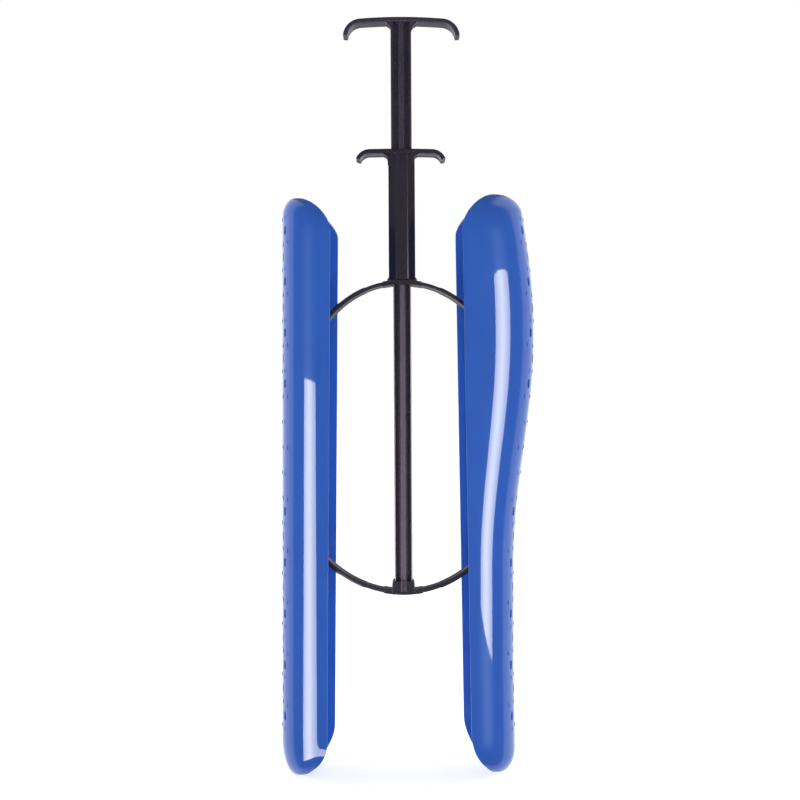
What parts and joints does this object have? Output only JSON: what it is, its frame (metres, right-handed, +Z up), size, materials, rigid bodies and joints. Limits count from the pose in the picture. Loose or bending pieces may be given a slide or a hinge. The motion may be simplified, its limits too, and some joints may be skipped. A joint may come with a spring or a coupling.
{
  "type": "boot shaper",
  "caption": "Boot shaft shaper: a palm handle on a ribbed rod slides in a grip tube and bends sprung bows, drawing long vented channel shells together.",
  "frame": {"origin": "on the rod's axis, level with the lowest end of the shells", "axes": "+Z up along the rod towards the palm handle, +X towards the calf side, +Y away from the viewer of the picture"},
  "size_m": [0.1667, 0.056, 0.5015],
  "materials": {
    "shell_blue": "glossy blue moulded plastic",
    "moulding_black": "satin black moulded plastic",
    "pin_steel": "plain steel wire pin"
  },
  "bodies": {
    "front": {"front_shell": "shell_blue", "front_upper_pin": "pin_steel"},
    "tube": {"guide_tube": "moulding_black", "upper_bow": "moulding_black"},
    "rod": {"plunger": "moulding_black", "lower_bow": "moulding_black"},
    "rear": {"rear_shell": "shell_blue", "rear_upper_pin": "pin_steel"},
    "front_foot": {"front_lower_pin": "pin_steel"},
    "rear_foot": {"rear_lower_pin": "pin_steel"}
  },
  "joints": [
    {"name": "tube_rise", "type": "slide", "parent": "front", "child": "tube", "axis": [-0.7071, 0, 0.7071], "range_m": [0, 0.0228]},
    {"name": "squeeze", "type": "slide", "parent": "tube", "child": "rod", "axis": [0, 0, -1], "range_m": [0, 0.032], "stiffness_N_per_m": 1200, "deforming": ["upper_bow", "lower_bow"]},
    {"name": "rear_draw", "type": "slide", "parent": "tube", "child": "rear", "axis": [-0.7071, 0, -0.7071], "range_m": [0, 0.0228]},
    {"name": "front_foot_draw", "type": "slide", "parent": "rod", "child": "front_foot", "axis": [0.7071, 0, 0.7071], "range_m": [0, 0.0228]},
    {"name": "rear_foot_draw", "type": "slide", "parent": "rod", "child": "rear_foot", "axis": [-0.7071, 0, 0.7071], "range_m": [0, 0.0228]}
  ],
  "couplings": [
    {"joint": "tube_rise", "follows": "squeeze", "ratio": 0.70711},
    {"joint": "rear_draw", "follows": "squeeze", "ratio": 0.70711},
    {"joint": "front_foot_draw", "follows": "squeeze", "ratio": 0.70711},
    {"joint": "rear_foot_draw", "follows": "squeeze", "ratio": 0.70711}
  ]
}
